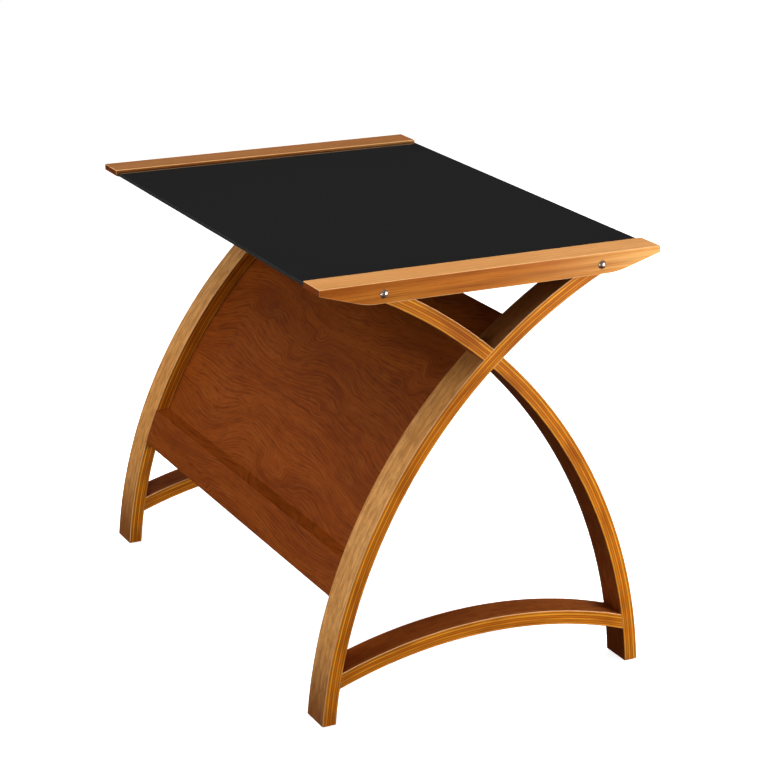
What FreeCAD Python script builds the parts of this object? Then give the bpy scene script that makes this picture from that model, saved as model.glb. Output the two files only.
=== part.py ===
"""Curved-leg desk with a black glass top and a magazine rack, in millimetres.

+Z is up. -Y is the side that carries the rack, and +Y is the side where a person sits. Seen
from the rack side, +X is to the right. The origin is on the floor under the middle of the top.
Each side frame is one level rail, two bent plywood legs that cross, and an arched stretcher.
"""
import FreeCAD, Part

import math
import os

os.makedirs("parts", exist_ok=True)

VECTOR = FreeCAD.Vector
ALONG_X = VECTOR(1, 0, 0)
ALONG_Y = VECTOR(0, 1, 0)
UP = VECTOR(0, 0, 1)

# Whole desk
TABLE_WIDTH = 900.0
TABLE_HEIGHT = 724.0
RAIL_LENGTH = 604.0
FRAME_WIDTH = 57.0            # rails, legs and stretchers all share this width along X
SIDE_X = TABLE_WIDTH / 2      # outer face of each side frame
INNER_X = SIDE_X - FRAME_WIDTH

# Rails: flat on top, with a boat-shaped underside
RAIL_HEIGHT = 34.0
RAIL_END_HEIGHT = 10.5
RAIL_TAPER_LENGTH = 80.0
RAIL_BLEND_RADIUS = 120.0
RAIL_ARRIS = 1.8
RAIL_UNDERSIDE = TABLE_HEIGHT - RAIL_HEIGHT

# Legs: circular arcs of bent plywood. This centre is the one of the legs that carry the rack.
LEG_CENTRE_Y = 563.0
LEG_CENTRE_Z = -59.0
LEG_OUTER_RADIUS = 860.0
LEG_THICKNESS = 24.0
LEG_INNER_RADIUS = LEG_OUTER_RADIUS - LEG_THICKNESS
LEG_MIDDLE_RADIUS = LEG_OUTER_RADIUS - LEG_THICKNESS / 2
LEG_ARRIS = 0.9               # the planed corners along every bent bar
LEG_BLANK_ANGLES = (2.0, 66.0)
CROSSING_HALF_LENGTH = 150.0
CROSSING_LOW_Z = 400.0

# Stretchers: arches between the feet of each side frame
STRETCHER_CENTRE_Z = -683.0
STRETCHER_INNER_RADIUS = 791.0
STRETCHER_OUTER_RADIUS = STRETCHER_INNER_RADIUS + LEG_THICKNESS
STRETCHER_BLANK_ANGLES = (65.0, 115.0)

# Rack panel and the lip that stops the magazines
PANEL_THICKNESS = 9.0
PANEL_OUTER_RADIUS = LEG_INNER_RADIUS
PANEL_INNER_RADIUS = PANEL_OUTER_RADIUS - PANEL_THICKNESS
PANEL_LAP = 20.0              # how far the panel's margins reach behind the legs
PANEL_LOW_ANGLE = 18.2
PANEL_NOTCH_ANGLE = 46.0      # above this angle the panel is cut narrow, to clear the crossing
PANEL_TOP_ANGLE = 53.7
LIP_LOW_ANGLE = 17.45
LIP_TOP_Z = 260.0
LIP_ARRIS = 1.5
LIP_DOWEL_ANGLE = 20.3

# Crossbars, glass and its bumpers
CROSSBAR_Y = 193.0
CROSSBAR_WIDTH = 44.0
CROSSBAR_THICKNESS = 20.5
CROSSBAR_TOP = TABLE_HEIGHT - 12.0
CROSSBAR_BOTTOM = CROSSBAR_TOP - CROSSBAR_THICKNESS
BUMPER_RADIUS = 6.0
BUMPER_THICKNESS = 2.0
BUMPER_SPACING = 340.0
GLASS_THICKNESS = 6.0
GLASS_BOTTOM = CROSSBAR_TOP + BUMPER_THICKNESS
GLASS_SIDE_GAP = 1.0
GLASS_LENGTH = 599.0
GLASS_CORNER_RADIUS = 2.0
GLASS_BEVEL = 0.6

# Bolts through the rails into barrel nuts in the crossbars
BOLT_Z = TABLE_HEIGHT - 19.0
BOLT_RADIUS = 3.0
BOLT_HEAD_RADIUS = 6.2
BOLT_HEAD_HEIGHT = 2.4
BOLT_TIP_X = SIDE_X - 80.0
SOCKET_FLATS = 4.0
SOCKET_DEPTH = 1.8
CAP_RADIUS = 7.0
CAP_RIM = 0.6
CAP_HEIGHT = 3.6
NUT_X = INNER_X - 17.0
NUT_RADIUS = 5.0
NUT_LENGTH = 12.0

# Dowels
DOWEL_RADIUS = 4.0
DOWEL_CHAMFER = 0.8
DOWEL_END_GAP = 1.0
LEG_DOWEL_Y = 151.0
FRAME_DOWEL_SPACING = 27.0
CROSSBAR_DOWEL_SPACING = 28.0
CROSSBAR_DOWEL_Z = TABLE_HEIGHT - 22.0

# Cam fittings that draw the lip against the legs
CAM_RADIUS = 7.5
CAM_HEIGHT = 12.5
CAM_X = INNER_X - 34.0
STUD_RADIUS = 3.0
STUD_NECK_RADIUS = 1.8
STUD_HEIGHT = 6.5             # above the lip's lower face
STUD_GRIP = 11.0              # how deep the stud is screwed into the leg
STUD_HEAD_X = CAM_X - 1.0
STUD_HEAD_LENGTH = 3.0
STUD_NECK_LENGTH = 5.0
CAM_SLOT_WIDTH = 6.8
CAM_DRIVE_LENGTH = 8.0
CAM_DRIVE_WIDTH = 1.4
CAM_DRIVE_DEPTH = 1.8
CAM_SET_IN = 0.2              # how far the cam lies inside the lip's lower face

# Wood screws that hold the panel
SCREW_RADIUS = 1.75
SCREW_HEAD_RADIUS = 3.5
SCREW_HEAD_HEIGHT = 2.0
SCREW_LENGTH = 25.0
SCREW_POINT = 3.5
SCREW_DRIVE_LENGTH = 3.8
SCREW_DRIVE_WIDTH = 0.9
SCREW_DRIVE_DEPTH = 1.6
PANEL_SCREW_X = INNER_X + PANEL_LAP / 2
PANEL_SCREW_ANGLES = (22.0, 27.8, 33.6, 39.4, 44.8)
LIP_SCREW_ANGLE = 19.6
LIP_SCREW_SPACING = 165.0

# Nail-on glides under the feet
FOOT_Z = 2.5
GLIDE_RADIUS = 8.0
GLIDE_CHAMFER = 0.6
NAIL_RADIUS = 1.0
NAIL_HEAD_RADIUS = 3.0
NAIL_HEAD_HEIGHT = 0.8
NAIL_HEAD_Z = 0.9
NAIL_LENGTH = 17.0

FIT_GAP = 0.05                # play around pins, bolts and nuts in their holes


def box(x_range, y_range, z_range):
    """A block between the low and high value on each axis."""
    size = [high - low for low, high in (x_range, y_range, z_range)]
    return Part.makeBox(*size, VECTOR(x_range[0], y_range[0], z_range[0]))


def cylinder(radius, length, start, direction):
    return Part.makeCylinder(radius, length, VECTOR(*start), direction)


def pin(radius, length, start, direction, chamfer):
    """A round pin with both rims chamfered."""
    rod = cylinder(radius, length, start, direction)
    rims = [edge for edge in rod.Edges if isinstance(edge.Curve, Part.Circle)]
    return rod.makeChamfer(chamfer, rims).Solids[0]


class Dowel:
    """A wooden dowel: where it starts, which way it runs, and how long it is."""

    def __init__(self, start, direction, length):
        self.start = VECTOR(*start)
        self.direction = direction
        self.length = length

    def solid(self):
        return pin(DOWEL_RADIUS, self.length, tuple(self.start), self.direction, DOWEL_CHAMFER)

    def hole(self):
        """The drilling for it, a little deeper at both ends."""
        start = self.start - self.direction * DOWEL_END_GAP
        length = self.length + 2 * DOWEL_END_GAP
        return cylinder(DOWEL_RADIUS, length, tuple(start), self.direction)


def solids(dowels):
    return [dowel.solid() for dowel in dowels]


def holes(dowels):
    return [dowel.hole() for dowel in dowels]


def mirrored(shape, normal):
    """The shape's mirror image in the plane through the origin."""
    return shape.mirror(VECTOR(0, 0, 0), normal)


def both_sides(shape):
    """The shape on the +X side and its mirror image on the -X side."""
    return [shape, mirrored(shape, ALONG_X)]


def front_and_back(shape):
    return [shape, mirrored(shape, ALONG_Y)]


def four_corners(shape):
    return [copy for side in both_sides(shape) for copy in front_and_back(side)]


def cut_all(shape, tools):
    for tool in tools:
        shape = shape.cut(tool)
    return shape


def on_leg(shape, angle):
    """Move a shape that is modelled at y = -radius, z = 0 to its angle on a rack leg's arc."""
    placed = shape.copy()
    placed.rotate(VECTOR(0, 0, 0), ALONG_X, -angle)
    placed.translate(VECTOR(0, LEG_CENTRE_Y, LEG_CENTRE_Z))
    return placed


def leg_point(radius, angle):
    """The y and z of a point on a rack leg, by its radius and its angle above the arc's centre."""
    turn = math.radians(angle)
    return LEG_CENTRE_Y - radius * math.cos(turn), LEG_CENTRE_Z + radius * math.sin(turn)


def leg_angle(radius, height):
    """The angle at which a leg's arc of this radius reaches a height above the floor."""
    return math.degrees(math.asin((height - LEG_CENTRE_Z) / radius))


def bar_section(x_range, radii, arris):
    """A rectangle across a bent bar, at z = 0, with its four corners planed off."""
    low_x, high_x = x_range
    low_y, high_y = -radii[1], -radii[0]
    corners = [
        (low_x + arris, low_y), (high_x - arris, low_y),
        (high_x, low_y + arris), (high_x, high_y - arris),
        (high_x - arris, high_y), (low_x + arris, high_y),
        (low_x, high_y - arris), (low_x, low_y + arris),
    ]
    if arris == 0:
        corners = corners[::2]
    points = [VECTOR(x, y, 0) for x, y in corners]
    return Part.Face(Part.makePolygon(points + points[:1]))


def bent_bar(centre, radii, x_range, angles, arris=0.0):
    """A bar bent to an arc about an axis along X. Angles run upwards from the -Y direction."""
    section = bar_section(x_range, radii, arris)
    bar = section.revolve(VECTOR(0, 0, 0), -ALONG_X, angles[1] - angles[0])
    if bar.ShapeType != "Solid":
        bar = Part.Solid(bar)
    bar.rotate(VECTOR(0, 0, 0), ALONG_X, -angles[0])
    bar.translate(VECTOR(0, *centre))
    return bar


def leg_blank():
    """A rack leg on the +X side before its joints are cut."""
    radii = (LEG_INNER_RADIUS, LEG_OUTER_RADIUS)
    centre = (LEG_CENTRE_Y, LEG_CENTRE_Z)
    bar = bent_bar(centre, radii, (INNER_X, SIDE_X), LEG_BLANK_ANGLES, LEG_ARRIS)
    span = box((0, TABLE_WIDTH), (-RAIL_LENGTH, RAIL_LENGTH), (FOOT_Z, RAIL_UNDERSIDE))
    return bar.common(span)


def lap_half(outer_half):
    """The half of a side frame's width that one leg keeps where the two legs cross."""
    middle = SIDE_X - FRAME_WIDTH / 2
    x_range = (middle, SIDE_X + 1) if outer_half else (INNER_X - 1, middle)
    y_range = (-CROSSING_HALF_LENGTH, CROSSING_HALF_LENGTH)
    return box(x_range, y_range, (CROSSING_LOW_Z, RAIL_UNDERSIDE))


def leg_dowels():
    """Two upright dowels from the top of each leg into its rail, for the +X, +Y leg top."""
    depth = 15.0
    offsets = (-FRAME_DOWEL_SPACING / 2, FRAME_DOWEL_SPACING / 2)
    middle = SIDE_X - FRAME_WIDTH / 2
    starts = [(middle + offset, LEG_DOWEL_Y, RAIL_UNDERSIDE - depth) for offset in offsets]
    return [Dowel(start, UP, 2 * depth) for start in starts]


def stretcher_joint():
    """Where a stretcher's middle line meets the rack leg, and the direction into the leg."""
    radius = (STRETCHER_INNER_RADIUS + STRETCHER_OUTER_RADIUS) / 2
    y = -RAIL_LENGTH / 2
    for _ in range(20):       # each pass moves y nearer to where the two arcs meet
        z = STRETCHER_CENTRE_Z + math.sqrt(radius ** 2 - y ** 2)
        y = LEG_CENTRE_Y - math.sqrt(LEG_INNER_RADIUS ** 2 - (z - LEG_CENTRE_Z) ** 2)
    slope = math.asin(-y / radius)
    return y, z, VECTOR(0, -math.cos(slope), -math.sin(slope))


def stretcher_dowels():
    """Two dowels from a stretcher's end into the rack leg, on the +X side."""
    leg_depth = 14.0
    arch_depth = 18.0
    y, z, into_leg = stretcher_joint()
    dowels = []
    for offset in (-FRAME_DOWEL_SPACING / 2, FRAME_DOWEL_SPACING / 2):
        start = VECTOR(SIDE_X - FRAME_WIDTH / 2 + offset, y, z) - into_leg * arch_depth
        dowels.append(Dowel(start, into_leg, leg_depth + arch_depth))
    return dowels


def crossbar_dowels():
    """Two dowels beside the bolt at the +X, +Y crossbar end, which stop the bar turning."""
    depth = 14.0
    dowels = []
    for offset in (-CROSSBAR_DOWEL_SPACING / 2, CROSSBAR_DOWEL_SPACING / 2):
        start = (INNER_X - depth, CROSSBAR_Y + offset, CROSSBAR_DOWEL_Z)
        dowels.append(Dowel(start, ALONG_X, 2 * depth))
    return dowels


def lip_dowel():
    """The dowel that locates the lip's +X end beside its cam fitting."""
    depth = 14.0
    y, z = leg_point(LEG_MIDDLE_RADIUS, LIP_DOWEL_ANGLE)
    return Dowel((INNER_X - depth, y, z), ALONG_X, 2 * depth)


def hexagon_prism(flats, length, start):
    """A hexagonal prism that runs along +X."""
    radius = flats / math.sqrt(3)
    turns = [math.radians(60 * step) for step in range(7)]
    x, y, z = start
    corners = [VECTOR(x, y + radius * math.cos(t), z + radius * math.sin(t)) for t in turns]
    return Part.Face(Part.makePolygon(corners)).extrude(VECTOR(length, 0, 0))


def rail_bolt():
    """The bolt at the +X, +Y corner, with its flat head sunk flush in the rail."""
    head_x = SIDE_X - BOLT_HEAD_HEIGHT
    head = cylinder(BOLT_HEAD_RADIUS, BOLT_HEAD_HEIGHT, (head_x, CROSSBAR_Y, BOLT_Z), ALONG_X)
    shank_length = head_x - BOLT_TIP_X
    shank = cylinder(BOLT_RADIUS, shank_length, (BOLT_TIP_X, CROSSBAR_Y, BOLT_Z), ALONG_X)
    tip_edges = [edge for edge in shank.Edges if abs(edge.CenterOfMass.x - BOLT_TIP_X) < 0.1]
    shank = shank.makeChamfer(0.8, tip_edges)
    socket_start = (SIDE_X - SOCKET_DEPTH, CROSSBAR_Y, BOLT_Z)
    socket = hexagon_prism(SOCKET_FLATS, SOCKET_DEPTH + 1, socket_start)
    return head.fuse(shank).cut(socket).removeSplitter()


def bolt_cap():
    """The domed cover pressed into the bolt's socket."""
    centre = (SIDE_X, CROSSBAR_Y, BOLT_Z)
    dome_height = CAP_HEIGHT - CAP_RIM
    sphere_radius = (CAP_RADIUS ** 2 + dome_height ** 2) / (2 * dome_height)
    sphere_x = SIDE_X + CAP_HEIGHT - sphere_radius
    sphere = Part.makeSphere(sphere_radius, VECTOR(sphere_x, CROSSBAR_Y, BOLT_Z))
    dome = cylinder(CAP_RADIUS, CAP_HEIGHT + 1, centre, ALONG_X).common(sphere)
    plug_length = SOCKET_DEPTH - 0.3
    plug_start = (SIDE_X - plug_length, CROSSBAR_Y, BOLT_Z)
    plug = hexagon_prism(SOCKET_FLATS - 2 * FIT_GAP, plug_length, plug_start)
    return dome.fuse(plug).removeSplitter()


def bolt_space():
    """What is drilled for the bolt at the +X, +Y corner: shank hole and counterbore."""
    radius = BOLT_RADIUS + 4 * FIT_GAP
    shank_length = SIDE_X - BOLT_TIP_X + 4
    shank = cylinder(radius, shank_length, (BOLT_TIP_X - 4, CROSSBAR_Y, BOLT_Z), ALONG_X)
    sink_x = SIDE_X - BOLT_HEAD_HEIGHT
    sink = cylinder(BOLT_HEAD_RADIUS + 0.2, 10.0, (sink_x, CROSSBAR_Y, BOLT_Z), ALONG_X)
    return shank.fuse(sink)


def barrel_nut():
    """The cross-drilled nut in the +X, +Y crossbar end, with its screwdriver slot below."""
    low_z = BOLT_Z - NUT_LENGTH / 2
    body = pin(NUT_RADIUS, NUT_LENGTH, (NUT_X, CROSSBAR_Y, low_z), UP, 0.4)
    thread_start = (NUT_X - 10, CROSSBAR_Y, BOLT_Z)
    thread = cylinder(BOLT_RADIUS + FIT_GAP, 20.0, thread_start, ALONG_X)
    slot = box((NUT_X - 6, NUT_X + 6), (CROSSBAR_Y - 0.6, CROSSBAR_Y + 0.6), (low_z - 1, low_z + 1))
    return body.cut(thread).cut(slot)


def nut_space():
    """The blind hole that takes the barrel nut from under the crossbar."""
    start = (NUT_X, CROSSBAR_Y, CROSSBAR_BOTTOM - 1)
    depth = BOLT_Z + NUT_LENGTH / 2 + 0.2 - start[2]
    return cylinder(NUT_RADIUS + FIT_GAP, depth, start, UP)


def make_rail():
    """The +X rail: level on top, tapering to both ends underneath."""
    end_y = RAIL_LENGTH / 2
    end_z = TABLE_HEIGHT - RAIL_END_HEIGHT
    slope = math.atan2(end_z - RAIL_UNDERSIDE, RAIL_TAPER_LENGTH)
    tangent = RAIL_BLEND_RADIUS * math.tan(slope / 2)
    corner_y = end_y - RAIL_TAPER_LENGTH
    flat_y = corner_y - tangent
    ramp_y = corner_y + tangent * math.cos(slope)
    ramp_z = RAIL_UNDERSIDE + tangent * math.sin(slope)
    mid_y = flat_y + RAIL_BLEND_RADIUS * math.sin(slope / 2)
    mid_z = RAIL_UNDERSIDE + RAIL_BLEND_RADIUS * (1 - math.cos(slope / 2))

    def point(y, z):
        return VECTOR(INNER_X, y, z)

    def underside(sign):
        """One end's ramp and the arc that blends it into the flat, from the end inwards."""
        ramp_start = point(sign * end_y, end_z)
        ramp_stop = point(sign * ramp_y, ramp_z)
        blend_middle = point(sign * mid_y, mid_z)
        blend_stop = point(sign * flat_y, RAIL_UNDERSIDE)
        blend = Part.Arc(ramp_stop, blend_middle, blend_stop)
        return [Part.makeLine(ramp_start, ramp_stop), blend.toShape()]

    outline = Part.Wire([
        Part.makeLine(point(-end_y, end_z), point(-end_y, TABLE_HEIGHT)),
        Part.makeLine(point(-end_y, TABLE_HEIGHT), point(end_y, TABLE_HEIGHT)),
        Part.makeLine(point(end_y, TABLE_HEIGHT), point(end_y, end_z)),
        *underside(1),
        Part.makeLine(point(flat_y, RAIL_UNDERSIDE), point(-flat_y, RAIL_UNDERSIDE)),
        *reversed(underside(-1)),
    ])
    rail = Part.Face(outline).extrude(VECTOR(FRAME_WIDTH, 0, 0))
    rounded = [edge for edge in rail.Edges if edge.CenterOfMass.z > end_z - 0.1]
    rail = rail.makeFillet(RAIL_ARRIS, rounded)
    tools = [bolt_space()] + holes(crossbar_dowels() + leg_dowels())
    return cut_all(rail, [copy for tool in tools for copy in front_and_back(tool)])


def make_rack_leg():
    """The +X leg whose foot is on the rack side. It keeps the outer half of the crossing."""
    leg = leg_blank()
    crossing = mirrored(leg_blank(), ALONG_Y).common(lap_half(outer_half=False))
    tools = holes(leg_dowels() + stretcher_dowels() + [lip_dowel()])
    tools += [cam_stud_space(), nail_space()] + panel_screws(screw_blank())
    return cut_all(leg.cut(crossing), tools)


def make_cross_leg():
    """The +X leg whose foot is on the sitter's side. It keeps the inner half of the crossing."""
    leg = mirrored(leg_blank(), ALONG_Y)
    crossing = leg_blank().common(lap_half(outer_half=True))
    tools = holes(leg_dowels() + stretcher_dowels()) + [nail_space()]
    return cut_all(leg.cut(crossing), [mirrored(tool, ALONG_Y) for tool in tools])


def make_stretcher():
    """The +X arch, fitted between the inner faces of the two legs."""
    radii = (STRETCHER_INNER_RADIUS, STRETCHER_OUTER_RADIUS)
    centre = (0.0, STRETCHER_CENTRE_Z)
    arch = bent_bar(centre, radii, (INNER_X, SIDE_X), STRETCHER_BLANK_ANGLES, LEG_ARRIS)
    start = (INNER_X - 1, LEG_CENTRE_Y, LEG_CENTRE_Z)
    inside_leg = cylinder(LEG_INNER_RADIUS, FRAME_WIDTH + 2, start, ALONG_X)
    for limit in front_and_back(inside_leg):
        arch = arch.common(limit)
    return cut_all(arch, [copy for hole in holes(stretcher_dowels()) for copy in front_and_back(hole)])


def make_crossbar():
    """The crossbar on the sitter's side."""
    half_width = CROSSBAR_WIDTH / 2
    y_range = (CROSSBAR_Y - half_width, CROSSBAR_Y + half_width)
    bar = box((-INNER_X, INNER_X), y_range, (CROSSBAR_BOTTOM, CROSSBAR_TOP))
    long_edges = [edge for edge in bar.Edges if abs(edge.tangentAt(0).x) > 0.99]
    bar = bar.makeFillet(1.5, long_edges)
    tools = [bolt_space(), nut_space()] + holes(crossbar_dowels())
    return cut_all(bar, [copy for tool in tools for copy in both_sides(tool)])


def make_glass():
    half_x = INNER_X - GLASS_SIDE_GAP
    half_y = GLASS_LENGTH / 2
    z_range = (GLASS_BOTTOM, GLASS_BOTTOM + GLASS_THICKNESS)
    sheet = box((-half_x, half_x), (-half_y, half_y), z_range)
    corners = [edge for edge in sheet.Edges if abs(edge.tangentAt(0).z) > 0.99]
    sheet = sheet.makeFillet(GLASS_CORNER_RADIUS, corners)
    middle_z = GLASS_BOTTOM + GLASS_THICKNESS / 2
    rims = [edge for edge in sheet.Edges if abs(edge.CenterOfMass.z - middle_z) > 1]
    return sheet.makeChamfer(GLASS_BEVEL, rims)


def glass_bumpers():
    """Clear pads on both crossbars, under the glass."""
    pads = []
    for x in (-BUMPER_SPACING, 0.0, BUMPER_SPACING):
        start = (x, CROSSBAR_Y, CROSSBAR_TOP)
        pads += front_and_back(cylinder(BUMPER_RADIUS, BUMPER_THICKNESS, start, UP))
    return pads


def screw_blank():
    """A countersunk screw modelled at angle zero, driven outwards from the panel's back."""
    back_y = -PANEL_INNER_RADIUS
    outwards = -ALONG_Y
    head_base = VECTOR(0, back_y, 0)
    head = Part.makeCone(SCREW_HEAD_RADIUS, SCREW_RADIUS, SCREW_HEAD_HEIGHT, head_base, outwards)
    body_length = SCREW_LENGTH - SCREW_POINT
    body = cylinder(SCREW_RADIUS, body_length, (0, back_y, 0), outwards)
    point_base = VECTOR(0, back_y - body_length, 0)
    point = Part.makeCone(SCREW_RADIUS, 0.2, SCREW_POINT, point_base, outwards)
    return head.fuse(body).fuse(point).removeSplitter()


def wood_screw():
    """The same screw with the cross drive cut in its head."""
    reach = SCREW_DRIVE_LENGTH / 2
    half_width = SCREW_DRIVE_WIDTH / 2
    y_range = (-PANEL_INNER_RADIUS - SCREW_DRIVE_DEPTH, -PANEL_INNER_RADIUS + 1)
    upright = box((-half_width, half_width), y_range, (-reach, reach))
    level = box((-reach, reach), y_range, (-half_width, half_width))
    return screw_blank().cut(upright).cut(level)


def driven(screw, x, angle):
    """The screw at its place behind the panel."""
    placed = screw.copy()
    placed.translate(VECTOR(x, 0, 0))
    return on_leg(placed, angle)


def panel_screws(screw):
    """This screw at each place in the panel's margins, where it enters a rack leg."""
    right = [driven(screw, PANEL_SCREW_X, angle) for angle in PANEL_SCREW_ANGLES]
    return [copy for placed in right for copy in both_sides(placed)]


def lip_screws(screw):
    """This screw at each place along the foot of the panel, where it enters the lip."""
    return [driven(screw, step * LIP_SCREW_SPACING, LIP_SCREW_ANGLE) for step in range(-2, 3)]


def make_panel():
    """The curved rack panel: wide behind the legs, narrow where it passes the crossings."""
    radii = (PANEL_INNER_RADIUS, PANEL_OUTER_RADIUS)
    centre = (LEG_CENTRE_Y, LEG_CENTRE_Z)
    wide = INNER_X + PANEL_LAP
    narrow = INNER_X - 0.5
    lower = bent_bar(centre, radii, (-wide, wide), (PANEL_LOW_ANGLE, PANEL_NOTCH_ANGLE))
    upper = bent_bar(centre, radii, (-narrow, narrow), (PANEL_NOTCH_ANGLE, PANEL_TOP_ANGLE))
    panel = lower.fuse(upper).removeSplitter()
    return cut_all(panel, panel_screws(screw_blank()) + lip_screws(screw_blank()))


def make_lip():
    """The lip: its front is flush with the legs, and its top is level."""
    outer_top = leg_angle(LEG_OUTER_RADIUS, LIP_TOP_Z)
    inner_top = leg_angle(LEG_INNER_RADIUS, LIP_TOP_Z)

    def point(radius, angle):
        return VECTOR(-INNER_X, *leg_point(radius, angle))

    front_low = point(LEG_OUTER_RADIUS, LIP_LOW_ANGLE)
    front_middle = point(LEG_OUTER_RADIUS, (LIP_LOW_ANGLE + outer_top) / 2)
    front_top = point(LEG_OUTER_RADIUS, outer_top)
    back_top = point(LEG_INNER_RADIUS, inner_top)
    back_middle = point(LEG_INNER_RADIUS, (LIP_LOW_ANGLE + inner_top) / 2)
    back_low = point(LEG_INNER_RADIUS, LIP_LOW_ANGLE)
    outline = Part.Wire([
        Part.Arc(front_low, front_middle, front_top).toShape(),
        Part.makeLine(front_top, back_top),
        Part.Arc(back_top, back_middle, back_low).toShape(),
        Part.makeLine(back_low, front_low),
    ])
    lip = Part.Face(outline).extrude(VECTOR(2 * INNER_X, 0, 0))
    front_edges = []
    for edge in lip.Edges:
        middle = edge.CenterOfMass
        ends = (front_low, front_top)
        on_front = min(math.hypot(middle.y - end.y, middle.z - end.z) for end in ends) < 0.1
        if on_front and abs(middle.x) < 1:
            front_edges.append(edge)
    lip = lip.makeFillet(LIP_ARRIS, front_edges)
    end_tools = [lip_dowel().hole(), cam_stud_space(), cam_space()]
    end_cuts = [copy for tool in end_tools for copy in both_sides(tool)]
    return cut_all(lip, end_cuts + lip_screws(screw_blank()))


def cam_stud():
    """The stud screwed into the +X rack leg. Its headed end is held by the cam."""
    neck_x = STUD_HEAD_X + STUD_HEAD_LENGTH
    shaft_x = neck_x + STUD_NECK_LENGTH
    shaft_length = INNER_X + STUD_GRIP - shaft_x

    def along_x(radius, length, x):
        return cylinder(radius, length, (x, -LEG_MIDDLE_RADIUS, STUD_HEIGHT), ALONG_X)

    head = along_x(STUD_RADIUS, STUD_HEAD_LENGTH, STUD_HEAD_X)
    neck = along_x(STUD_NECK_RADIUS, STUD_NECK_LENGTH, neck_x)
    shaft = along_x(STUD_RADIUS, shaft_length, shaft_x)
    return on_leg(head.fuse(neck).fuse(shaft).removeSplitter(), LIP_LOW_ANGLE)


def cam_stud_space():
    """The hole along X for the stud, through the lip's end and into the +X rack leg."""
    start_x = CAM_X
    length = INNER_X + STUD_GRIP + 1.0 - start_x
    start = (start_x, -LEG_MIDDLE_RADIUS, STUD_HEIGHT)
    return on_leg(cylinder(STUD_RADIUS + FIT_GAP, length, start, ALONG_X), LIP_LOW_ANGLE)


def cam_space():
    """The pocket in the lip's lower face that takes the cam at the +X end."""
    start = (CAM_X, -LEG_MIDDLE_RADIUS, -5.0)
    return on_leg(cylinder(CAM_RADIUS + FIT_GAP, CAM_HEIGHT + 5.6, start, UP), LIP_LOW_ANGLE)


def cam():
    """The cam at the +X end: a drum with a slot for the stud's head and a cross drive below."""
    y = -LEG_MIDDLE_RADIUS
    drum = cylinder(CAM_RADIUS, CAM_HEIGHT, (CAM_X, y, CAM_SET_IN), UP)
    half_slot = CAM_SLOT_WIDTH / 2
    slot_x = (CAM_X - 2.5, CAM_X + CAM_RADIUS + 1)
    slot = box(slot_x, (y - half_slot, y + half_slot), (STUD_HEIGHT - half_slot, STUD_HEIGHT + half_slot))
    reach = CAM_DRIVE_LENGTH / 2
    half_width = CAM_DRIVE_WIDTH / 2
    drive_z = (CAM_SET_IN - 1, CAM_SET_IN + CAM_DRIVE_DEPTH)
    upright = box((CAM_X - half_width, CAM_X + half_width), (y - reach, y + reach), drive_z)
    level = box((CAM_X - reach, CAM_X + reach), (y - half_width, y + half_width), drive_z)
    return on_leg(drum.cut(slot).cut(upright).cut(level), LIP_LOW_ANGLE)


def foot_centre():
    """The x and y of the middle of the +X rack leg's foot."""
    outer_y = leg_point(LEG_OUTER_RADIUS, leg_angle(LEG_OUTER_RADIUS, FOOT_Z))[0]
    inner_y = leg_point(LEG_INNER_RADIUS, leg_angle(LEG_INNER_RADIUS, FOOT_Z))[0]
    return SIDE_X - FRAME_WIDTH / 2, (outer_y + inner_y) / 2


def glide_pad():
    """The round pad under the +X rack leg, with a sunk hole for its nail."""
    x, y = foot_centre()
    pad = cylinder(GLIDE_RADIUS, FOOT_Z, (x, y, 0), UP)
    floor_rim = [edge for edge in pad.Edges if edge.CenterOfMass.z < 0.1]
    pad = pad.makeChamfer(GLIDE_CHAMFER, floor_rim)
    shank_hole = cylinder(NAIL_RADIUS + FIT_GAP, 10.0, (x, y, -1), UP)
    sink_depth = NAIL_HEAD_Z + NAIL_HEAD_HEIGHT + 1
    head_hole = cylinder(NAIL_HEAD_RADIUS + FIT_GAP, sink_depth, (x, y, -1), UP)
    return pad.cut(shank_hole).cut(head_hole)


def glide_nail():
    """The nail that holds the +X rack leg's glide."""
    x, y = foot_centre()
    head = cylinder(NAIL_HEAD_RADIUS, NAIL_HEAD_HEIGHT, (x, y, NAIL_HEAD_Z), UP)
    body_z = NAIL_HEAD_Z + NAIL_HEAD_HEIGHT
    body = cylinder(NAIL_RADIUS, NAIL_LENGTH - 2, (x, y, body_z), UP)
    point = Part.makeCone(NAIL_RADIUS, 0.1, 2.0, VECTOR(x, y, body_z + NAIL_LENGTH - 2), UP)
    return head.fuse(body).fuse(point).removeSplitter()


def nail_space():
    x, y = foot_centre()
    return cylinder(NAIL_RADIUS, NAIL_LENGTH + 1, (x, y, FOOT_Z - 1), UP)


def save(node, shapes):
    """Write one node: a single solid, or several separate solids as a group."""
    if not isinstance(shapes, list):
        shapes = [shapes]
    pieces = [piece for shape in shapes for piece in shape.Solids]
    if not all(piece.isValid() for piece in pieces):
        raise ValueError(node + " has a faulty solid")
    whole = pieces[0] if len(pieces) == 1 else Part.makeCompound(pieces)
    whole.exportStep(os.path.join("parts", node + ".step"))


def save_pair(name, right):
    """Write a part and its mirror image on the other side of the desk."""
    save("right_" + name, right)
    save("left_" + name, mirrored(right, ALONG_X))


save_pair("rail", make_rail())
save_pair("rack_leg", make_rack_leg())
save_pair("cross_leg", make_cross_leg())
save_pair("stretcher", make_stretcher())

sitter_crossbar = make_crossbar()
save("sitter_crossbar", sitter_crossbar)
save("rack_crossbar", mirrored(sitter_crossbar, ALONG_Y))
save("glass_top", make_glass())
save("glass_bumpers", glass_bumpers())

save("rack_panel", make_panel())
save("rack_lip", make_lip())

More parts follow.
